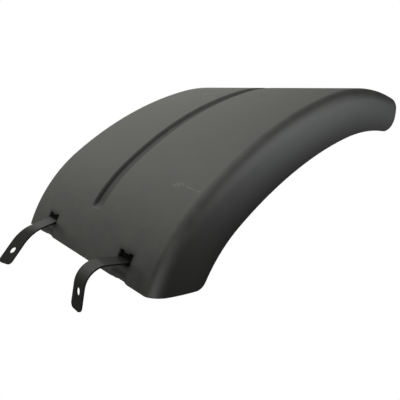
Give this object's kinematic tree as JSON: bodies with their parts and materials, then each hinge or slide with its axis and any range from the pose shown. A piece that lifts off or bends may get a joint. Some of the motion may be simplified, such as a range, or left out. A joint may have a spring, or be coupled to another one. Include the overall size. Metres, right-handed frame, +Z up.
{
  "type": "mudguard",
  "caption": "Arched moulded wheel mudguard with a side skirt, a pressed bead along the arch, and rubber hold-down straps with peg holes at its lower end.",
  "frame": {"origin": "centre of the box that the guard and its straps fill", "axes": "+X from the strapped lower end to the far end, +Y along the wheel axis from the skirt side to the free edge, +Z up as mounted"},
  "size_m": [0.716, 0.47, 0.3087],
  "materials": {
    "shell": "satin, finely grained black moulding",
    "strap": "satin black rubber"
  },
  "bodies": {
    "root": {"shell": "shell", "strap_near": "strap", "strap_far": "strap"}
  },
  "joints": []
}
